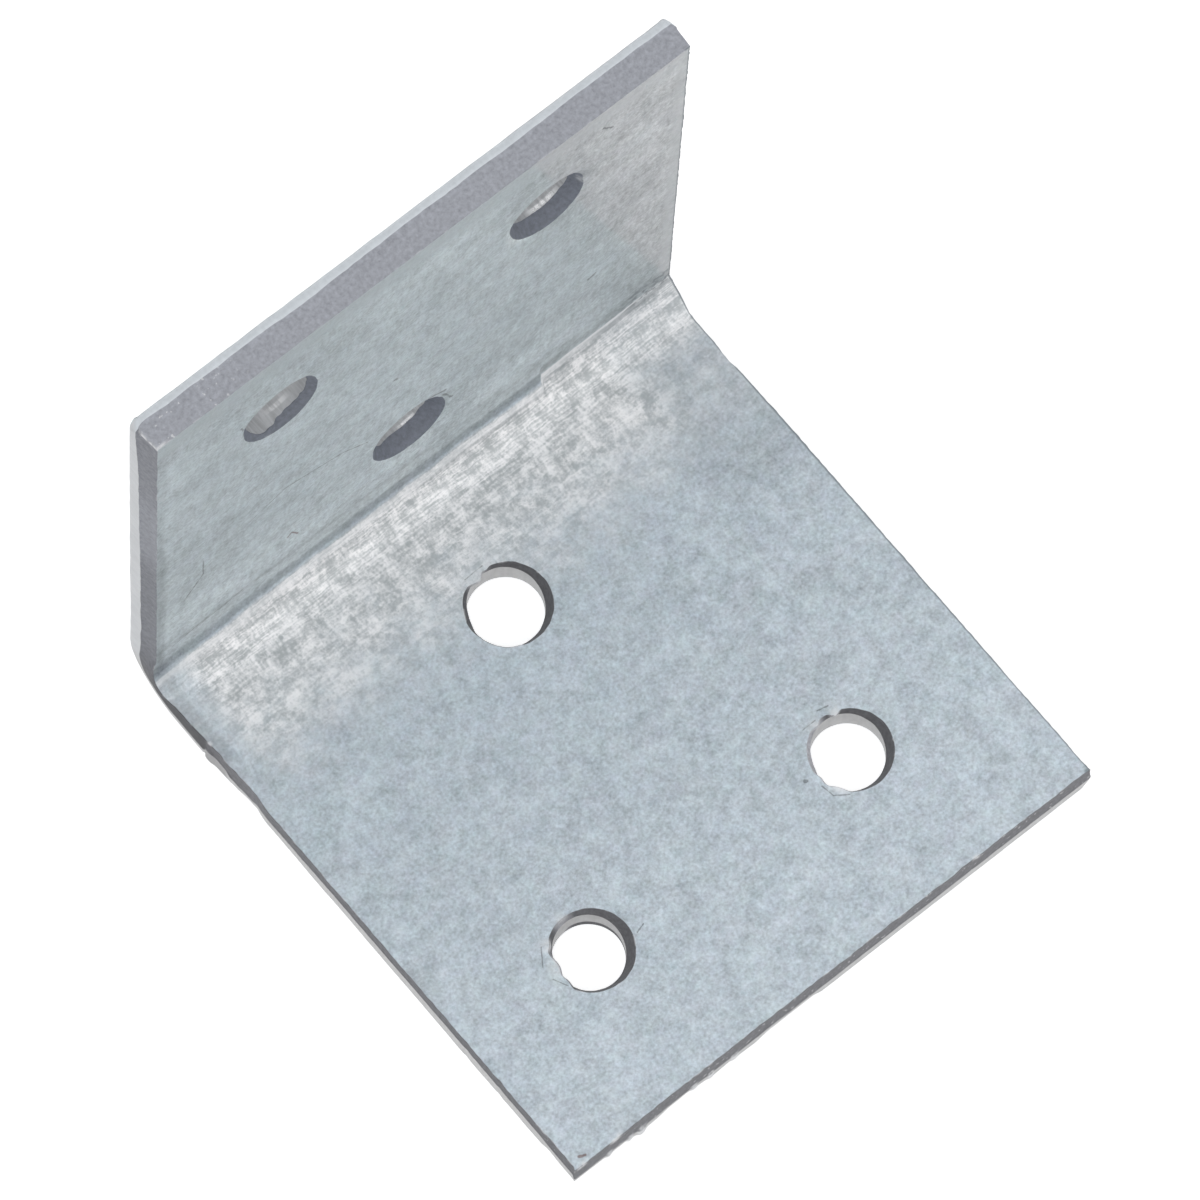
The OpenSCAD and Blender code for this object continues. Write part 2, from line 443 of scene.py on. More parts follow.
def outline_relief(share, depth):
    """Inward shift of the wall besides its bands, for one ring. Negative values stand out."""
    at = np.column_stack([OUTLINE, depth])
    torn = np.where(share >= 2, ease_between(share, 2.0, 2.1), 0.0)
    smooth = (share > 0.4) * (1 - ease_between(share, 2.0, 2.1))
    tear_grain = 0.025 * smooth_noise(at, 0.45, 31) + 0.015 * smooth_noise(at, 0.2, 32)
    relief = torn * tear_grain + 0.012 * smooth_noise(at, 1.3, 33)
    relief -= np.where(ON_FREE_EDGE, 0.035 + 0.2 * smooth * bumps(X_OUT, TONGUES), 0)
    relief += np.where(ON_LEFT, bumps(S_OUT, CHIPS), 0)
    nick = bump_at(S_OUT, 2.9, 0.22)
    chunk = ease_between(S_OUT, 2.9, 3.1) * (1 - ease_between(S_OUT, 3.5, 4.3))
    relief += np.where(ON_LEFT, smooth * (0.1 * nick - 0.13 * chunk), 0)
    return relief


# %% Build the outline's wall
outline_rings = []
for share in SHARES:
    depth = depth_of(share, OUTLINE_LIP_DEPTH, OUTLINE_TORN_START)
    inset = lip_inset(depth, OUTLINE_LIP_WIDTH, OUTLINE_LIP_DEPTH) if share < 1 else np.zeros(len(OUTLINE))
    if share > 2:
        inset = inset + torn_inset(share, OUTLINE_SETBACK)
    if share > 0:
        inset = inset + outline_relief(share, depth) * ease_between(share, 0, 0.6)
    height = depth + (OUTLINE_BURR if share == 3 else 0)
    x, s = outline_ring(inset, depth)
    # The rounded corner's share of this is a painted highlight.
    pale = OUTLINE_BARE_AND_GLINT * ease_between(share, np.where(ON_TOP_EDGE, 2.9, 2.7), 2.95)
    pale = pale + CORNER_GLINT * (share > 2.05) + np.minimum(1.6 * ON_TONGUE, 0.8) * (0.9 < share < 2.1)
    outline_rings.append(add_points(x, s, height, band_of(share), 0.0, OUTLINE_TONE_AND_SHADE, pale=pale))
for lower, upper in zip(outline_rings[:-1], outline_rings[1:]):
    join_rings(lower, upper)
print("outline wall rings:", len(outline_rings))

# %% [markdown]
# ## The holes
# A hole is the same cut edge turned into a circle. Its tear opens towards the inside face like a shallow
# funnel. No punch stands quite over the middle of its die: on the tight side the tear is a mere rim, and
# on the wide side it starts early and opens far. Flakes stayed on where the slug let go last. On the
# upright leg the smooth bands are burnished, and the face dips softly into the upper half of each hole.

# %% What each hole measures
HOLE_SAMPLES = 120
ANGLE = np.arange(HOLE_SAMPLES) * 2 * np.pi / HOLE_SAMPLES


def towards(degrees):
    """1 on the side of the hole at this angle, -1 opposite. Angles run from +x towards +s."""
    return np.cos(ANGLE - np.radians(degrees))


def flake(degrees, reach):
    """A hump of height 1 round the hole's edge, in degrees."""
    return bump_at((np.degrees(ANGLE) - degrees + 180) % 360 - 180, 0, reach)


FLAT_START = curve(np.degrees(ANGLE), (
    (0, 1.6), (60, 1.3), (110, 1.25), (150, 1.7), (185, 2.3), (215, 2.55), (250, 2.75), (335, 2.8),
    (350, 2.3), (360, 1.6)))
FLAT_RIM, UPRIGHT_RIM = 0.25 * towards(90), 0.2 * towards(105)
DISH = 0.5 + 0.5 * towards(284)
HOLE_SHAPES = [
    # radius, rim radius, tear's start, tone with painted light and shade, polish, dish,
    # how far flakes stand into the hole, how white they are
    (2.96, 3.36 + FLAT_RIM, FLAT_START, 0.21 + 0.9 * flake(280, 30), 0.0, 0.0,
     0.5 * flake(282, 20) + 0.2 * flake(262, 9),
     0.9 * flake(280, 24)),
    (2.85, 3.25 + FLAT_RIM, FLAT_START, 0.24 + 1.1 * ease_between(flake(330, 75), 0.0, 0.3), 0.0, 0.0,
     0.34 * flake(252, 12) + 0.2 * flake(286, 12) + 0.16 * flake(38, 16) + 0.12 * flake(8, 10),
     flake(252, 13) + 0.9 * flake(287, 18) + 0.9 * flake(38, 22)),
    (2.77, 3.25 + FLAT_RIM, FLAT_START, 0.29 + 0.9 * flake(275, 25) + 0.9 * flake(355, 40), 0.0, 0.0,
     0.5 * flake(352, 28) + 0.3 * flake(18, 14) + 0.12 * flake(318, 10),
     flake(318, 14) + 0.5 * flake(275, 16) + 0.6 * flake(352, 24)),
    (2.9, 3.4 + UPRIGHT_RIM, 1.78 + 0.3 * flake(40, 40), 0.45, 0.15 + 0.85 * flake(108, 32), 0.3,
     0.0, 0.0),
    (2.9, 3.4 + UPRIGHT_RIM, 1.88 + 0.08 * towards(60), 0.44, 0.2 + 0.8 * flake(104, 50), 0.5,
     0.12 * flake(180, 14), 0.5 * flake(178, 14)),
    (2.9, 3.4 + UPRIGHT_RIM, 2.45 + 0.5 * flake(60, 45), 0.42, 0.2 + 0.5 * flake(104, 40), 0.45,
     0.1 * flake(240, 20), 0.3 * flake(240, 16)),
]
for number, shape in enumerate(HOLE_SHAPES):
    print_range("rim radius of hole %d" % number, shape[1])


# %% Build the holes' walls
def hole_ring(centre, radius):
    """Points on a circle of varying radius, counter-clockwise."""
    return centre[0] + radius * np.cos(ANGLE), centre[1] + radius * np.sin(ANGLE)


hole_rings, rim_radii, rim_dips, rim_pales = [], [], [], []
for number, centre in enumerate(HOLES):
    radius, rim, start, tone, polish, dish, stands_in, pale = HOLE_SHAPES[number]
    flat = np.zeros(HOLE_SAMPLES)
    at = np.column_stack([np.cos(ANGLE) * radius, np.sin(ANGLE) * radius, flat + 9.0 * number])
    ragged = 0.14 if number == 5 else 0.05
    start = start + 0.07 * smooth_noise(at, 2.0, 41) + ragged * smooth_noise(at, 0.5, 42)
    start = np.minimum(start, THICKNESS - 0.12)
    setback = rim - radius + 0.03 * smooth_noise(at, 1.6, 43) + 0.03 * smooth_noise(at, 0.5, 44)
    dip = dish * DISH
    burr = (0.01 + 0.05 * np.clip(smooth_noise(at, 0.7, 45) - 0.3, 0, 1)) * (dish == 0) + 0.07 * pale
    rings = []
    for share in SHARES:
        depth = depth_of(share, HOLE_LIP_DEPTH, start) - dip * ease_between(share, 2, 3)
        opening = lip_inset(depth, HOLE_LIP_WIDTH, HOLE_LIP_DEPTH) if share < 1 else flat
        moved = at + np.column_stack([flat, flat, depth])
        if share > 2:
            opening = opening + torn_inset(share, setback, 0.05) + 0.025 * smooth_noise(moved, 0.4, 46)
        opening = opening + 0.01 * smooth_noise(moved, 1.1, 47) * ease_between(share, 0, 0.6)
        opening = opening - stands_in * ease_between(share, 1.9, 2.7)
        height = depth + (burr if share == 3 else 0)
        band = band_of(share)
        if number == 2 and share in (1.0, 1.35):  # a second, thin tear next to the lip
            band = 1 + (2.65 - 1.7 * share) * ease_between(flake(205, 90), 0.0, 0.4)
        x, s = hole_ring(centre, radius + opening)
        bare = pale * ease_between(share, 2.3, 2.8)
        rings.append(add_points(x, s, height, band, 0.0, tone, polish, bare))
    for lower, upper in zip(rings[:-1], rings[1:]):
        join_rings(lower, upper, flip=True)
    hole_rings.append(rings)
    rim_radii.append(radius + opening)
    rim_dips.append(dip - burr)
    rim_pales.append(pale)
print("holes:", len(hole_rings))

# %% [markdown]
# ## The two faces
# Next to each cut the face gets a few rings that carry the burr back to the flat. Inside them, a net of
# points fills the rest: rows along the fold, closer round the bend, joined into triangles.


# %% Rims that lead from the walls to the faces
def face_rims(depth, outline_insets, hole_shares, hole_border, last_outline, last_holes):
    """Rings beside the cuts on one face. Those round a hole go from its rim to a circle of radius
    hole_border, and each lies at a share of that way."""
    inside = depth > THICKNESS / 2
    for step, inset in enumerate(outline_insets):
        x, s = outline_ring(np.full(len(OUTLINE), inset), np.full(len(OUTLINE), depth))
        lift = OUTLINE_BURR * 0.35 if inside and step == 0 else 0
        fade = max(0.0, 1 - inset / 1.4) ** 2
        ring = add_points(x, s, depth + lift, 0.0, inset, OUTLINE_TONE_AND_SHADE, fade=fade)
        join_rings(*((last_outline, ring) if inside else (ring, last_outline)))
        last_outline = ring
    for number, centre in enumerate(HOLES):
        rim = rim_radii[number] if inside else HOLE_SHAPES[number][0] + HOLE_LIP_WIDTH
        for share in hole_shares:
            radius = rim + (hole_border - rim) * share
            dip = rim_dips[number] * (1 - share) ** 2 if inside else 0
            x, s = hole_ring(centre, radius)
            bare = rim_pales[number] * (1 - share) ** 2
            ring = add_points(x, s, depth - dip, 0.0, radius - rim, 0.0, pale=bare)
            join_rings(last_holes[number], ring, flip=inside)
            last_holes[number] = ring
    return last_outline, last_holes


# %% Net inside the rims
def from_nearest_hole(x, s):
    """Distance to the centre of the nearest hole."""
    return np.min([np.hypot(x - hole_x, s - hole_s) for hole_x, hole_s in HOLES], axis=0)


def net_points(border_inset, hole_border, spacing):
    """The points of the net, as x and s, in rows along the fold. Those too close to a hole are left out."""
    s_low, s_high = S_UPRIGHT_EDGE + border_inset, S_FLAT_EDGE - border_inset
    fold_rows = np.linspace(-FOLD_ARC, 0, 15)
    upright_rows = np.linspace(s_low, -FOLD_ARC, int((-FOLD_ARC - s_low) / spacing) + 1)[1:-1]
    flat_rows = np.linspace(0, s_high, int(s_high / spacing) + 1)[1:-1]
    rows = np.concatenate([upright_rows, fold_rows, flat_rows])
    half = WIDTH / 2 - border_inset
    columns = np.linspace(-half, half, int(2 * half / spacing) + 1)[1:-1]
    net_x, net_s = (g.ravel() for g in np.meshgrid(columns, rows))
    keep = from_nearest_hole(net_x, net_s) > hole_border + spacing * 0.5
    return net_x[keep], net_s[keep]


def fill_face(depth, outline_border, hole_borders, border_inset, hole_border, spacing):
    """Joins the borders and the net's points into triangles, and leaves the holes open."""
    net_x, net_s = net_points(border_inset, hole_border, spacing)
    to_side = np.minimum(WIDTH / 2 - np.abs(net_x), HALF_SPAN - np.abs(net_s - MID_S))
    edge = np.minimum(to_side, from_nearest_hole(net_x, net_s) - HOLE_RADIUS - HOLE_TORN_SETBACK)
    net = add_points(net_x, net_s, depth, 0.0, edge, 0.4, fade=0.0)
    everything = np.concatenate([outline_border, *hole_borders, net])
    all_flat = np.concatenate(flat_points)[:, :2]
    flat = all_flat[everything]
    borders, first = [], 0
    for ring in [outline_border, *hole_borders]:
        index = np.arange(first, first + len(ring))
        borders.append(np.column_stack([index, np.roll(index, -1)]))
        first += len(ring)
    borders = np.concatenate(borders)
    result = delaunay_2d_cdt(flat.tolist(), borders.tolist(), [], 0, 1e-6, True)
    origin = np.array([ids[0] if ids else -1 for ids in result[3]])
    triangles = np.array(result[2])
    centre_of = np.array([list(v) for v in result[0]])[triangles].mean(1)
    triangles = triangles[from_nearest_hole(centre_of[:, 0], centre_of[:, 1]) > hole_border]
    triangles = everything[origin[triangles]]
    a, b, c = (all_flat[triangles[:, k]] for k in range(3))
    turn = (b[:, 0] - a[:, 0]) * (c[:, 1] - a[:, 1]) - (b[:, 1] - a[:, 1]) * (c[:, 0] - a[:, 0])
    triangles = triangles[np.abs(turn) > 1e-9]
    turn = turn[np.abs(turn) > 1e-9]
    wrong = (turn > 0) != (depth > THICKNESS / 2)
    triangles[wrong] = triangles[wrong][:, ::-1]
    faces.append(triangles)
    return len(triangles)


# %% Build both faces
def build_face(title, depth, ring, insets, shares, hole_border, spacing):
    """Rims and net of one face, from the walls' rings that end at it."""
    borders = face_rims(
        depth, insets, shares, hole_border, outline_rings[ring], [rings[ring] for rings in hole_rings])
    print("triangles", title + ":", fill_face(depth, *borders, insets[-1], hole_border, spacing))


build_face("inside", THICKNESS, -1, [0.42, 0.62, 0.95], [0.2, 0.45, 0.7, 1.0], 4.3, 0.75)
build_face("outside", 0.0, 0, [1.35, 1.8], [0.4, 1.0], 4.1, 1.0)

# %% [markdown]
# ## From arrays to a mesh
# Blender takes the arrays as they are. What each point knows goes in as attributes, which the material
# reads.

# %% Make the mesh
co = np.concatenate(points)
flat_co = np.concatenate(flat_points) * MM
knowledge = np.concatenate(knows)
mesh = bpy.data.meshes.new("bracket_sheet")
mesh.from_pydata(co.tolist(), [], [f for block in faces for f in block.tolist()])
mesh.update()
for column, name in enumerate(("band", "edge_mm", "tear_tone_and_shade", "polish", "pale")):
    stored = mesh.attributes.new(name, "FLOAT", "POINT")
    stored.data.foreach_set("value", knowledge[:, column].astype(np.float32))
stored = mesh.attributes.new("strip", "FLOAT_VECTOR", "POINT")
stored.data.foreach_set("vector", flat_co.astype(np.float32).ravel())
mesh.shade_smooth()
mesh.set_sharp_from_angle(angle=np.radians(50))
bracket = bpy.data.objects.new("bracket_sheet", mesh)
bpy.context.scene.collection.objects.link(bracket)
triangle_count = sum(len(p.vertices) - 2 for p in mesh.polygons)
print("points:", len(co), "triangles:", triangle_count)

# %% Check that the skin is closed and faces outwards
skin = bmesh.new()
skin.from_mesh(mesh)
open_edges = sum(1 for e in skin.edges if len(e.link_faces) != 2)
volume = skin.calc_volume(signed=True) * 1e9
skin.free()
print("open edges:", open_edges, "volume, mm3:", round(volume, 1))

# %% [markdown]
# ## Shorthand for shader nodes
# A finish is a formula over the surface. These helpers let a formula be written as one, line by line:
# each adds a node to the tree that is being worked on, takes sockets or plain numbers, and returns its
# own socket.


# %% Shader helpers
def work_on(chosen_tree):
    """From here on, all helpers add their nodes to this tree."""
    global tree
    tree = chosen_tree


def feed(socket, value):
    """Links value to a socket if it is a socket itself, and otherwise writes it in."""
    if isinstance(value, bpy.types.NodeSocket):
        tree.links.new(value, socket)
    elif isinstance(value, (tuple, list)) and socket.type == "RGBA" and len(value) == 3:
        socket.default_value = (*value, 1)
    else:
        socket.default_value = value


def new_node(kind, output, **values):
    """Adds a node, feeds its inputs by name, and returns one of its outputs."""
    node = tree.nodes.new("ShaderNode" + kind)
    for title, value in values.items():
        feed(node.inputs[title.replace("_", " ")], value)
    return node.outputs[output]


def calc(operation, a, b=0.0, c=0.0):
    """One step of arithmetic."""
    node = tree.nodes.new("ShaderNodeMath")
    node.operation = operation
    for socket, value in zip(node.inputs, (a, b, c)):
        feed(socket, value)
    return node.outputs[0]


def times(*values):
    """The product of all values."""
    product = values[0]
    for value in values[1:]:
        product = calc("MULTIPLY", product, value)
    return product


def plus(base, value, amount):
    """base, with amount times value added."""
    return calc("MULTIPLY_ADD", value, amount, base)


def vary(base, noise, amount):
    """base, with amount times a noise added, where the noise counts from its middle, 0.5."""
    return plus(base, calc("SUBTRACT", noise, 0.5), amount)


def vector_step(operation, a, b=(0, 0, 0), scale=None):
    """One step of vector arithmetic. Returns the vector, or the number for lengths and products."""
    node = tree.nodes.new("ShaderNodeVectorMath")
    node.operation = operation
    feed(node.inputs[0], a)
    if scale is None:
        feed(node.inputs[1], b)
    else:
        feed(node.inputs["Scale"], scale)
    return node.outputs["Value" if operation in ("DOT_PRODUCT", "LENGTH") else "Vector"]


# %% Helpers that shape a value
def rise(value, low, high, to_low=0.0, to_high=1.0):
    """A smooth step from to_low at low to to_high at high."""
    node = tree.nodes.new("ShaderNodeMapRange")
    node.interpolation_type = "SMOOTHSTEP"
    titles = ("Value", "From Min", "From Max", "To Min", "To Max")
    for title, number in zip(titles, (value, low, high, to_low, to_high)):
        feed(node.inputs[title], number)
    return node.outputs["Result"]


def hump(value, start, full, until, end):
    """0 before start, 1 from full to until, 0 after end."""
    return times(rise(value, start, full), rise(value, until, end, 1.0, 0.0))


def grain(vector, scale, detail=2.0, roughness=0.5, output="Fac"):
    """A noise texture: its value, which lies about 0.5, or its colour."""
    return new_node("TexNoise", output, Vector=vector, Scale=scale, Detail=detail, Roughness=roughness)


def stretch(vector, scale, degrees=0.0):
    """Turns a vector about its third axis, then scales it, so that a noise on it gets longer one way."""
    turned = new_node("Mapping", 0, Vector=vector, Rotation=(0, 0, np.radians(degrees)))
    return new_node("Mapping", 0, Vector=turned, Scale=scale)


def blend(amount, a, b):
    """Mixes two numbers by amount."""
    node = tree.nodes.new("ShaderNodeMix")
    for slot, value in ((0, amount), (2, a), (3, b)):
        feed(node.inputs[slot], value)
    return node.outputs[0]


def blend_colour(amount, a, b):
    """Mixes two colours by amount."""
    node = tree.nodes.new("ShaderNodeMix")
    node.data_type = "RGBA"
    for slot, value in ((0, amount), (6, a), (7, b)):
        feed(node.inputs[slot], value)
    return node.outputs[2]


def lay_over(colour, *coats):
    """Lays coats over a colour, one after the other. Each coat is a mask and a colour."""
    for mask, coat in coats:
        colour = blend_colour(mask, colour, coat)
    return colour


def known(name, output="Fac"):
    """What each point of the mesh knows by this name."""
    node = tree.nodes.new("ShaderNodeAttribute")
    node.attribute_name = name
    return node.outputs[output]


# %% Helpers for node groups
def new_group(name, inputs, outputs):
    """Starts a node group and works on it. Returns it, what it is given, and where its results go."""
    group = bpy.data.node_groups.new(name, "ShaderNodeTree")
    for title, kind, value in inputs:
        socket = group.interface.new_socket(title, in_out="INPUT", socket_type="NodeSocket" + kind)
        if value is not None:
            socket.default_value = value
    for title, kind in outputs:
        group.interface.new_socket(title, in_out="OUTPUT", socket_type="NodeSocket" + kind)
    work_on(group)
    return group, group.nodes.new("NodeGroupInput").outputs, group.nodes.new("NodeGroupOutput").inputs


def place_group(group, **values):
    """Places a group in the tree, feeds its inputs by name, and returns its outputs."""
    node = tree.nodes.new("ShaderNodeGroup")
    node.node_tree = group
    for title, value in values.items():
        feed(node.inputs[title], value)
    return node.outputs


# %% [markdown]
# ## Spangle
# Zinc that froze on steel shows a mottle of crystals: pale patches a few millimetres wide, a finer grain
# inside them, and small dark flecks between. Each has its own noise, and a weak colour noise makes some
# of them cooler.

# %% Zinc spangle group
spangle, given, result = new_group(
    "zinc_spangle",
    [("Vector", "Vector", None), ("Contrast", "Float", 1.0)],
    [("Level", "Float"), ("Tint", "Color"), ("Height", "Float"), ("Flecks", "Float")])
place = given["Vector"]
crystals = grain(place, 1100, 2, 0.6)
fine = grain(place, 3800, 2, 0.7)
level = vary(0.0, grain(place, 330), 0.26)
level = vary(level, crystals, 0.6)
level = vary(level, fine, 0.8)
feed(result["Level"], plus(1.0, level, given["Contrast"]))
feed(result["Flecks"], rise(grain(place, 1900, 1), 0.66, 0.76))
hue, fine_hue = grain(place, 420, output="Color"), grain(place, 1500, 1, output="Color")
feed(result["Tint"], blend_colour(0.5, hue, fine_hue))
feed(result["Height"], plus(crystals, fine, 0.6))

# %% [markdown]
# ## Rubbed strokes
# The folding tool dragged over the zinc beside the bend, and the sheet was wiped and stacked. Both leave
# short strokes. A noise gives them, on coordinates that are stretched along the strokes.

# %% Strokes group
rubbed_strokes, given, result = new_group(
    "rubbed_strokes", [("Vector", "Vector", None)], [("Level", "Float")])
feed(result["Level"], calc("SUBTRACT", grain(given["Vector"], 1.0, 3, 0.6), 0.5))

# %% [markdown]
# ## Scratches and marks
# A scratch is everything within half its width of a straight line between two points of the strip.
# A little noise on its width keeps it from looking ruled.

# %% Scratch group
scratch, given, result = new_group(
    "scratch_mark",
    [("Vector", "Vector", None), ("Start", "Vector", None), ("End", "Vector", None),
     ("Width", "Float", 0.1)],
    [("Mask", "Float")])
along = vector_step("SUBTRACT", given["End"], given["Start"])
rest = vector_step("SUBTRACT", given["Vector"], given["Start"])
way = calc("DIVIDE", vector_step("DOT_PRODUCT", rest, along), vector_step("DOT_PRODUCT", along, along))
nearest = vector_step("SCALE", along, scale=new_node("Clamp", "Result", Value=way))
away = vector_step("LENGTH", vector_step("SUBTRACT", rest, nearest))
width = times(given["Width"], rise(grain(given["Vector"], 2.5), 0.35, 0.65, 0.35, 1.3))
feed(result["Mask"], rise(calc("SUBTRACT", away, width), -0.02, 0.05, 1.0, 0.0))

# %% [markdown]
# ## Zinc-coated steel, put together
# The material starts from the spangle, works the bend and the rubbed places into it, and then changes
# over at the cut edges: burnished on the smooth band, dark and coarse on the tear. The strip's own
# coordinates, in millimetres, say where each place is.

# %% Material: coordinates and spangle
zinc = bpy.data.materials.new("zinc_coated_steel")
zinc.use_nodes = True
work_on(zinc.node_tree)
strip_mm = vector_step("SCALE", known("strip", "Vector"), scale=1 / MM)
apart = tree.nodes.new("ShaderNodeSeparateXYZ")
feed(apart.inputs[0], strip_mm)
along_fold, across, through = apart.outputs
face_inside = rise(through, 1.5, 1.6)
on_upright = rise(across, -FOLD_ARC - 0.4, -FOLD_ARC * 0.6, 1.0, 0.0)
contrast = rise(on_upright, 0.0, 1.0, 1.0, 0.95)
mottle = place_group(spangle, Vector=new_node("TexCoord", "Object"), Contrast=contrast)


def strokes(scale, degrees=0.0, vector=strip_mm):
    """Strokes over the strip, from how many of them fit in a millimetre along x and along s."""
    return place_group(rubbed_strokes, Vector=stretch(vector, (*scale, 1), degrees))["Level"]


def patch(x_limits, s_limits):
    """A rectangle of the strip with soft sides: a hump along the fold times a hump across it."""
    return times(hump(along_fold, *x_limits), hump(across, *s_limits))


def line(position, limits, where):
    """A line along the fold, on the inside face: a hump across it, times where it is."""
    return times(hump(position, *limits), where, face_inside)


# %% Material: the rubbed bend
# The zone is rubbed, with painted light on top: its colour is lighter than the zinc, a painted sheen
# near the bend. It starts sharply where the folding tool's edge lay, and fades out over the flat leg.
# Beyond x = -12 the tool lay a little further up the upright leg, and at a slight angle.
tool_angle = calc("MAXIMUM", calc("SUBTRACT", -12.0, along_fold), 0.0)
further = plus(rise(along_fold, -12.3, -12.0, 1.35, 0.0), tool_angle, 0.05)
further = calc("SUBTRACT", further, rise(along_fold, 12.0, 18.0, 0.0, 0.3))
tool_edge = calc("ADD", across, vary(further, grain(strip_mm, 0.3), 0.9))
fading = vary(across, grain(strip_mm, 0.42, 3, 0.6), 9.0)
ends = calc("MAXIMUM", rise(along_fold, -21.0, -16.5, 0.35, 1.0), rise(across, -0.5, 3.0, 0.85, 0.0))
ends = times(ends, rise(along_fold, 21.0, 24.0, 1.0, 0.25))
rubbed_and_lit_zone = times(rise(tool_edge, -5.55, -4.75), rise(fading, 0.0, 12.5, 1.0, 0.0), ends, face_inside)

# %% Material: what rubbing left there
# The tool slid along x and juddered, over lumpy zinc: so strokes, ripples, lumps, pits and sand.
sway = vector_step("SUBTRACT", grain(strip_mm, 0.8, 1, output="Color"), (0.5, 0.5, 0.5))
swayed = vector_step("ADD", strip_mm, vector_step("SCALE", sway, scale=0.45))
ripples = times(strokes((3.4, 0.6), vector=swayed), 0.85)
rub = times(plus(ripples, strokes((0.35, 4.5), vector=swayed), 1.15), rise(across, -1.0, 2.5, 1.0, 0.55))
rub = vary(rub, grain(swayed, 0.6, 3, 0.6), 1.25)
rub = vary(rub, grain(swayed, 1.5, 2, 0.6), rise(across, -1.0, 3.0, 0.3, 0.9))
rub = vary(rub, grain(strip_mm, 5.0, 2, 0.6), 0.75)
lighter = calc("ADD", hump(across, -5.1, -4.7, -3.8, -3.2), hump(across, -1.6, -0.4, 4.5, 11.0))
rub = plus(rub, lighter, 0.06)
# Painted sheen: the rubbed colour reaches almost white.
rubbed_and_lit_colour = blend_colour(rise(rub, -0.36, 0.46), (0.43, 0.455, 0.468), (0.95, 0.945, 0.955))
print("nodes so far:", len(tree.nodes))

# %% Material: lines along the bend
# The tool's edge left a bright ridge. The dark lines beside it and below it are painted shade in the
# crease of the bend, a painted highlight runs along the top of the bend's curve, and the fold's own shape
# adds a few more.
peak_line = line(tool_edge, (-5.1, -4.8, -4.4, -3.8), 1.0)
dark_shade_line = line(tool_edge, (-4.35, -4.05, -3.95, -3.6), hump(along_fold, -17, -14, -3, 3))
tool_line = line(tool_edge, (-5.4, -5.2, -4.95, -4.75), hump(along_fold, -23.0, -21.0, -12.3, -12.0))
shadow_line = line(tool_edge, (-7.5, -6.5, -6.0, -5.2), rise(along_fold, -17.0, -12.0, 0.5, 1.0))
# Painted highlight along the top of the bend's curve
crest_highlight = line(across, (-2.9, -2.0, -1.5, -0.3), rise(along_fold, 18.0, 14.0))
right_shadow = line(across, (-6.5, -6.2, -5.85, -5.4), rise(along_fold, -16.0, -18.5))
thin_line = line(across, (-9.75, -9.35, -9.15, -8.8), rise(along_fold, -4.0, 18.0, 0.5, 1.3))
light_strip = line(across, (-16.5, -13.5, -11.0, -9.9), rise(along_fold, -19.0, -14.0))

# %% Material: brightness over the zinc
# On the upright leg the zinc is brushed. Each row below is a place, and how much lighter or darker it is.
level = plus(mottle["Level"], times(strokes((1.9, 0.35)), on_upright), 0.42)
level = plus(level, times(strokes((0.7, 2.6), -42), on_upright), 0.18)
level = vary(level, grain(strip_mm, 0.14), times(on_upright, 0.3))
slant = vector_step("DOT_PRODUCT", strip_mm, (0.954, 0.299, 0.0))
left_strip = times(rise(along_fold, 23.4, 24.4), hump(across, -70.0, -60.0, 4.0, 7.0), face_inside)
right_of_bend = times(rise(along_fold, -15.0, -20.0), hump(across, -1.0, 2.5, 9.0, 18.0), face_inside)
for where, factor in (
    # Painted shade: past a slanted line, the right of the upright leg is darkened against a lamp's sheen
    (times(rise(slant, -17.5, -28.0), on_upright), 0.84),
    (patch((3, 8, 18, 26), (-56, -50, -40, -35)), 0.91),
    (patch((-18, -14, -8, -4), (-52, -48, -43, -38)), 0.93),
    (times(rise(along_fold, 14, 19), hump(across, -30, -26, -19, -15)), 0.94),
    (light_strip, 1.1),
    (shadow_line, 0.7),
    (thin_line, 0.86),
    (times(left_strip, rise(across, -34.0, -27.0, 0.5, 1.0)), 0.74),
    (right_of_bend, 0.86),
    (rise(across, 20.0, 44.0), 1.05),
):
    level = times(level, rise(where, 0.0, 1.0, 1.0, factor))
under_top = rise(across, S_UPRIGHT_EDGE + 1.6, S_UPRIGHT_EDGE + 3.8, 1.0, 0.0)
beside_right = times(rise(along_fold, -23.9, -23.3, 1.0, 0.0), rise(across, -9, -7, 1.0, 0.0))
pressed = times(calc("MAXIMUM", under_top, beside_right), face_inside)
level = blend(times(pressed, 0.7), level, 0.86)

# %% Material: zinc colour
# Low on the right of the upright leg, past a slanted line, the zinc mirrors the flat leg's side.
mirrored = times(rise(slant, -25.2, -25.9), on_upright)
flat_zinc = blend_colour(0.06, (0.498, 0.567, 0.623), mottle["Tint"])
upright_zinc = blend_colour(mirrored, (0.568, 0.622, 0.642), (0.592, 0.612, 0.63))
upright_zinc = blend_colour(0.04, upright_zinc, mottle["Tint"])
zinc_colour = blend_colour(on_upright, flat_zinc, upright_zinc)
zinc_colour = blend_colour(times(mottle["Flecks"], 0.35), zinc_colour, (0.26, 0.35, 0.38))
zinc_colour = vector_step("SCALE", zinc_colour, scale=level)
grime = times(
    rise(grain(strip_mm, 1.3, 3, 0.6), 0.42, 0.58),
    patch((-25.5, -24.8, -21.5, -18.5), (-9.6, -8.4, -6.6, -5.6)), face_inside)
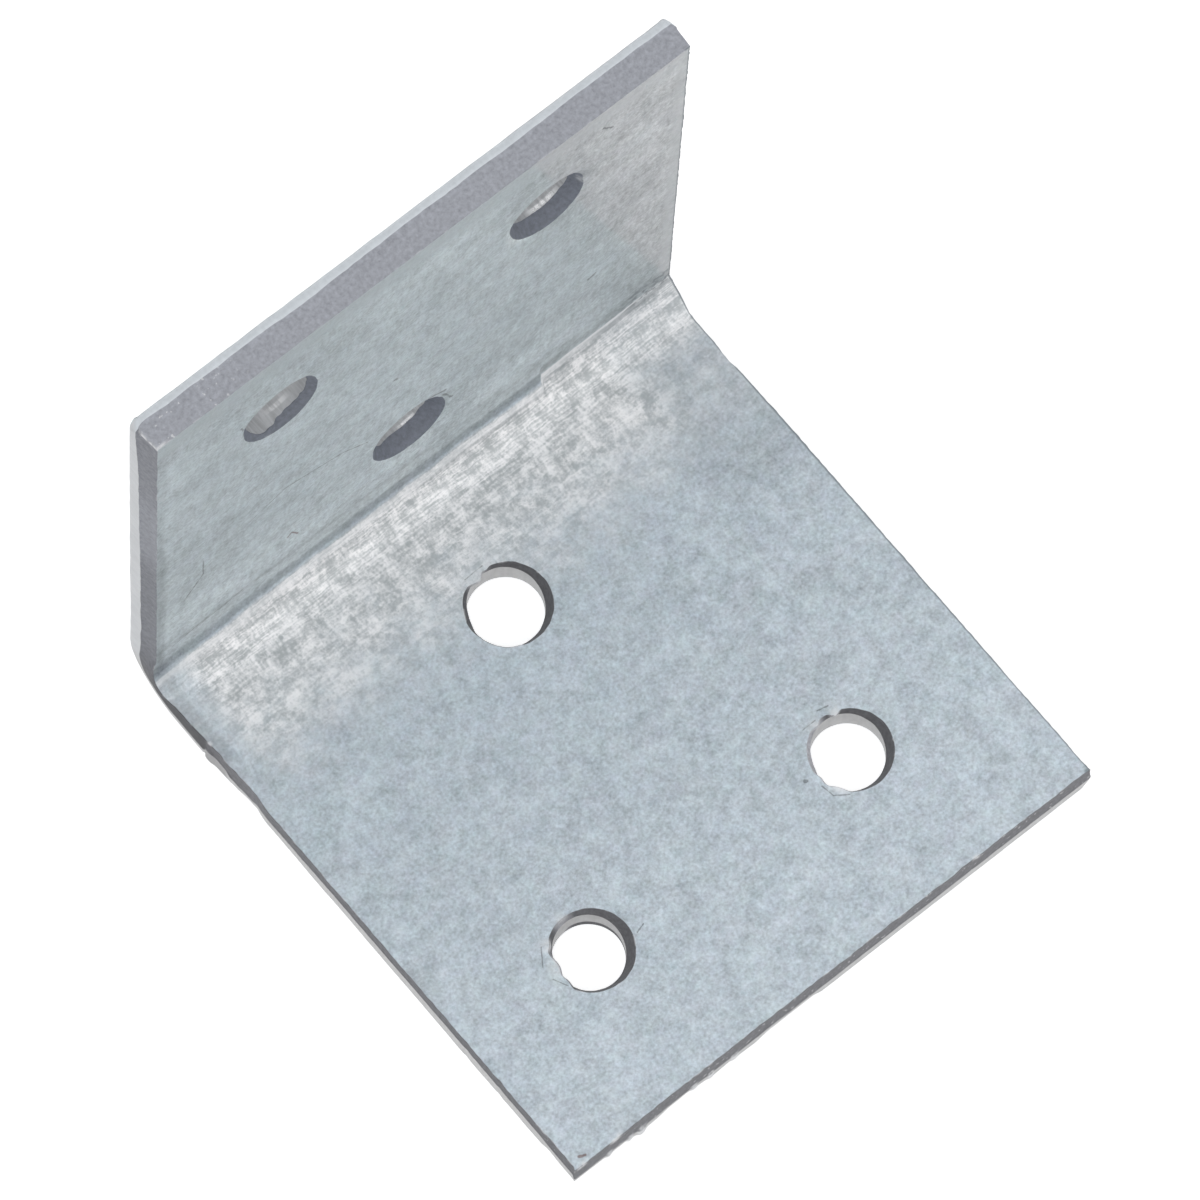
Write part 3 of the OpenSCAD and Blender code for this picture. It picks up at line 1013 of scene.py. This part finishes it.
# Painted shade along the bend's crease, with the dark grimy patch at its right end
shadows_and_grime = calc("MAXIMUM", times(dark_shade_line, 0.3), times(right_shadow, 0.4))
shadows_and_grime = calc("MAXIMUM", shadows_and_grime, times(grime, 0.75))
zinc_colour = lay_over(
    zinc_colour,
    (rubbed_and_lit_zone, rubbed_and_lit_colour),
    (times(crest_highlight, 0.1), (0.95, 0.96, 0.97)),
    (times(peak_line, 0.45), (0.92, 0.93, 0.94)),
    (shadows_and_grime, (0.2, 0.22, 0.24)),
    (times(tool_line, 0.8), (0.93, 0.93, 0.94)))

# %% Material: where the cut edges are
edge = known("edge_mm")
band = known("band")
polish = known("polish")
wall = times(rise(band, 0.5, 1.0), rise(edge, 0.0, 0.06, 1.0, 0.0))
torn = times(rise(band, 1.45, 1.55), rise(edge, 0.02, 0.08, 1.0, 0.0))
in_upright_hole = rise(polish, 0.05, 0.1)
top_edge = rise(across, S_UPRIGHT_EDGE + 1.0, S_UPRIGHT_EDGE + 0.3, 0.0, 1.0)

# %% Material: smooth band
# The punch dragged along it, so its grain runs through the sheet. Where it was pressed hardest, it shines.
drag = grain(stretch(strip_mm, (3.0, 3.0, 0.5)), 1.0, 3, 0.6)
smooth_level = vary(rise(in_upright_hole, 0, 1, 1.0, 0.8), drag, rise(in_upright_hole, 0, 1, 0.25, 0.9))
smooth_colour = blend_colour(on_upright, (0.56, 0.56, 0.565), (0.585, 0.6, 0.62))
# Painted reflection: on the top edge the lip and smooth band are lighter and bluer, catching the light
# above.
smooth_colour = blend_colour(top_edge, smooth_colour, (0.64, 0.68, 0.72))
smooth_colour = vector_step("SCALE", smooth_colour, scale=smooth_level)
dull_place = times(hump(across, 2.7, 3.0, 5.2, 5.8), rise(along_fold, 23.0, 24.0))
pressed_bar = hump(through, 1.42, 1.6, 1.8, 1.95)
burnished = times(rise(polish, 0.3, 1.0), pressed_bar, rise(drag, 0.4, 0.5, 0.5, 1.0))
smooth_colour = lay_over(
    smooth_colour, (times(dull_place, 0.5), (0.2, 0.2, 0.21)), (burnished, (0.92, 0.93, 0.94)))

# %% Material: tear
tear_grain = grain(strip_mm, 3.0, 3, 0.65)
# The tear's tone holds painted light and shade besides the torn metal's own darkness.
tear_level = times(plus(0.07, known("tear_tone_and_shade"), 0.35), vary(1.0, tear_grain, 0.9))
tear_tint = blend_colour(on_upright, (0.98, 0.99, 1.06), (0.95, 0.985, 1.09))
tear_tint = blend_colour(in_upright_hole, tear_tint, (0.9, 0.98, 1.16))
tear_colour = vector_step("SCALE", tear_tint, scale=tear_level)
colour = lay_over(zinc_colour, (wall, smooth_colour), (torn, tear_colour))

# %% Material: bare burrs and the rims
# Burrs and flakes have lost their zinc and are white, and the same white paints highlights at the
# rounded corner. The rim beside the right side is in painted shadow.
at_inside = rise(through, THICKNESS - 0.1, THICKNESS - 0.01)
burr = times(known("pale"), rise(grain(strip_mm, 2.0), 0.3, 0.55, 0.3, 0.95))
# Painted highlight: a white thread along the inside edge, where the burr catches the light.
thread = times(at_inside, rise(edge, 0.0, 0.2, 1.0, 0.0), rise(grain(strip_mm, 0.9), 0.56, 0.66), 0.35)
right_rim = times(rise(edge, 0.15, 0.42, 1.0, 0.0), rise(along_fold, -24.2, -24.5), at_inside, 0.8)
speck_place = calc("MAXIMUM", rise(across, 40.0, 45.0), times(top_edge, rise(along_fold, 14.0, 20.0)))
speck = times(rise(grain(strip_mm, 2.6, 1), 0.66, 0.72), torn, speck_place, 0.6)
BARE_AND_GLINT = (0.8, 0.81, 0.83)
colour = lay_over(
    colour, (burr, BARE_AND_GLINT), (thread, BARE_AND_GLINT), (right_rim, (0.2, 0.23, 0.25)), (speck, (0.82, 0.83, 0.84)))

# %% Material: scratches and rust marks
# Each has its start and its end on the inside face, as x and s, and half its width.
DARK_MARKS = [
    ((22.1, -16.7), (20.3, -19.4), 0.06), ((20.3, -19.4), (20.3, -22.1), 0.05),
    ((16.7, -22.7), (12.5, -24.5), 0.05), ((12.5, -24.5), (7.1, -22.7), 0.06),
    ((7.1, -22.7), (4.7, -20.9), 0.06), ((-16.8, -49.6), (-17.7, -48.4), 0.1),
    ((2.3, -29.8), (2.1, -29.6), 0.16), ((-17.1, -20.0), (-16.5, -19.8), 0.16),
    ((-1.3, -20.0), (-2.7, -19.4), 0.14), ((-2.6, -18.6), (-3.4, -16.9), 0.12),
    ((16.9, -44.2), (16.4, -42.6), 0.1), ((9.6, 34.7), (8.8, 34.45), 0.06),
    ((-8.4, 34.5), (-8.6, 35.6), 0.04), ((-8.6, 35.6), (-9.6, 36.3), 0.04),
    ((-12.8, 29.9), (-11.9, 29.7), 0.04), ((-11.3, 30.2), (-10.1, 30.2), 0.03),
    ((-7.74, 33.43), (-7.70, 33.40), 0.13), ((15.85, 31.1), (16.75, 32.4), 0.03),
    ((16.75, 33.6), (16.2, 34.7), 0.03), ((0.2, 5.15), (1.9, 5.2), 0.03),
    ((23.2, -8.7), (19.6, -9.3), 0.05), ((20.6, -8.9), (16.0, -9.5), 0.04),
]
RUST_MARKS = [
    ((12.2, -13.35), (11.85, -13.85), 0.07), ((11.85, -13.85), (11.2, -12.55), 0.06),
    ((24.0, S_FLAT_EDGE - 0.7), (23.6, S_FLAT_EDGE - 0.5), 0.1),
]


def marks(strokes_of_one_kind):
    """All scratches of a list as one mask: the greatest of their masks."""
    total = 0.0
    for start, end, half_width in strokes_of_one_kind:
        mark = place_group(
            scratch, Vector=strip_mm, Start=(*start, THICKNESS), End=(*end, THICKNESS), Width=half_width)
        total = calc("MAXIMUM", total, mark["Mask"])
    return total


colour = lay_over(
    colour,
    (times(marks(DARK_MARKS), 0.6), (0.10, 0.105, 0.11)),
    (times(marks(RUST_MARKS), 0.7), (0.17, 0.09, 0.075)))

# %% Material: shine and relief
roughness = plus(0.55, calc("SUBTRACT", mottle["Level"], 1.0), -0.5)
shiny = times(burnished, wall, calc("SUBTRACT", 1.0, torn))
roughness = times(roughness, rise(shiny, 0.0, 1.0, 1.0, 0.45))
relief = plus(mottle["Height"], tear_grain, times(torn, 2.0))
relief = plus(relief, rub, times(rubbed_and_lit_zone, 2.0))
shader = tree.nodes["Principled BSDF"]
feed(shader.inputs["Base Color"], colour)
feed(shader.inputs["Roughness"], blend(torn, roughness, 0.8))
feed(shader.inputs["Metallic"], calc("MAXIMUM", rise(torn, 0.0, 1.0, 0.45, 0.3), times(shiny, 0.9)))
feed(shader.inputs["Normal"], new_node("Bump", "Normal", Strength=0.35, Distance=0.00004, Height=relief))
mesh.materials.append(zinc)
print("shader nodes:", len(tree.nodes))

# %% [markdown]
# ## Floor, world and lamps
# A white floor, a white surround and two large soft lamps. The background is white only for rays that
# look at it, straight or by a reflection, so it puts no extra light on the bracket.


# %% Rays that look at the background
def looked_at():
    """1 for a ray from the camera, from a reflection or through something clear, and 0 for any other."""
    rays = tree.nodes.new("ShaderNodeLightPath").outputs
    straight_or_mirrored = calc("MAXIMUM", rays["Is Camera Ray"], rays["Is Glossy Ray"])
    return calc("MAXIMUM", straight_or_mirrored, rays["Is Transmission Ray"])


# %% Floor
bpy.ops.mesh.primitive_plane_add(size=6, location=(0, 0, -0.0002))
floor = bpy.context.object
floor.name = "floor"
paper = bpy.data.materials.new("floor_paper")
paper.use_nodes = True
work_on(paper.node_tree)
tree.nodes.clear()
white = new_node("BsdfDiffuse", 0, Color=(0.8, 0.8, 0.8))
glow = new_node("Emission", 0, Strength=times(looked_at(), 0.64))
both = tree.nodes.new("ShaderNodeAddShader")
out = tree.nodes.new("ShaderNodeOutputMaterial")
feed(both.inputs[0], white)
feed(both.inputs[1], glow)
feed(out.inputs["Surface"], both.outputs[0])
floor.data.materials.append(paper)

# %% World
world = bpy.data.worlds.new("studio")
bpy.context.scene.world = world
world.use_nodes = True
work_on(world.node_tree)
background = tree.nodes["Background"]
strength = new_node("MapRange", "Result", Value=looked_at(), To_Min=0.55, To_Max=1.0)
feed(background.inputs["Strength"], strength)
feed(background.inputs["Color"], (1, 1, 1))


# %% Lamps
def soft_lamp(name, place, aim, size, power):
    """A square lamp at place that faces aim."""
    lamp = bpy.data.lights.new(name, "AREA")
    lamp.size = size
    lamp.energy = power
    holder = bpy.data.objects.new(name, lamp)
    bpy.context.scene.collection.objects.link(holder)
    turn = (Vector(aim) - Vector(place)).to_track_quat("-Z", "Y")
    holder.matrix_world = Matrix.Translation(place) @ turn.to_matrix().to_4x4()


soft_lamp("key", (0.45, 0.25, 1.0), (0, 0, 0.02), 0.7, 3.0)
soft_lamp("fill", (-0.7, 0.5, 0.8), (0, 0, 0.02), 0.8, 1.2)

# %% Finish
bpy.context.scene.view_settings.view_transform = "Standard"
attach(bracket, "root")
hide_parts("bracket")
